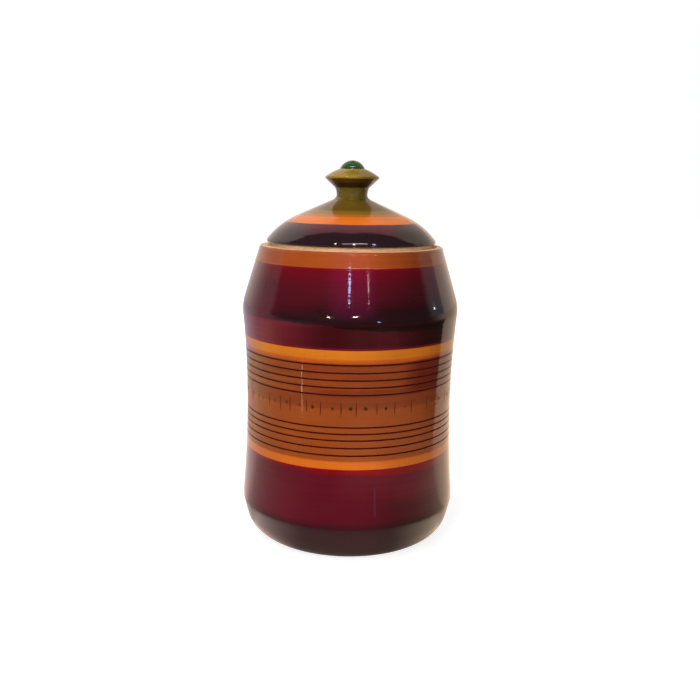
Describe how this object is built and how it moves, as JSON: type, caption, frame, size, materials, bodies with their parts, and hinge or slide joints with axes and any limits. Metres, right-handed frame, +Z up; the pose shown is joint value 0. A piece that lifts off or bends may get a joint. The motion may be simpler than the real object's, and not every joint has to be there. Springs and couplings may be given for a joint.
{
  "type": "lacquered wooden jar",
  "caption": "Turned wooden storage jar with a lift-off domed lid, a spool knob and a domed bead, lacquered in horizontal bands.",
  "frame": {"origin": "middle of the foot's underside, on the surface that the jar stands on", "axes": "+Z up along the turning axis; the jar is round, so +X and +Y are any two directions at right angles"},
  "size_m": [0.108, 0.108, 0.1888],
  "materials": {
    "jar_lacquer": "gloss lacquer on turned wood: maroon, with orange, brown and tan bands",
    "lid_lacquer": "gloss lacquer on turned wood: plum, with an orange and an olive band",
    "knob_lacquer": "gloss olive lacquer on turned wood",
    "bead_lacquer": "gloss green lacquer on turned wood"
  },
  "bodies": {
    "jar": {"jar_body": "jar_lacquer"},
    "lid": {"lid": "lid_lacquer", "lid_knob": "knob_lacquer", "knob_bead": "bead_lacquer"}
  },
  "joints": [
    {"name": "lid_lift", "type": "slide", "parent": "jar", "child": "lid", "axis": [0, 0, 1], "range_m": [0, 0.1]}
  ]
}
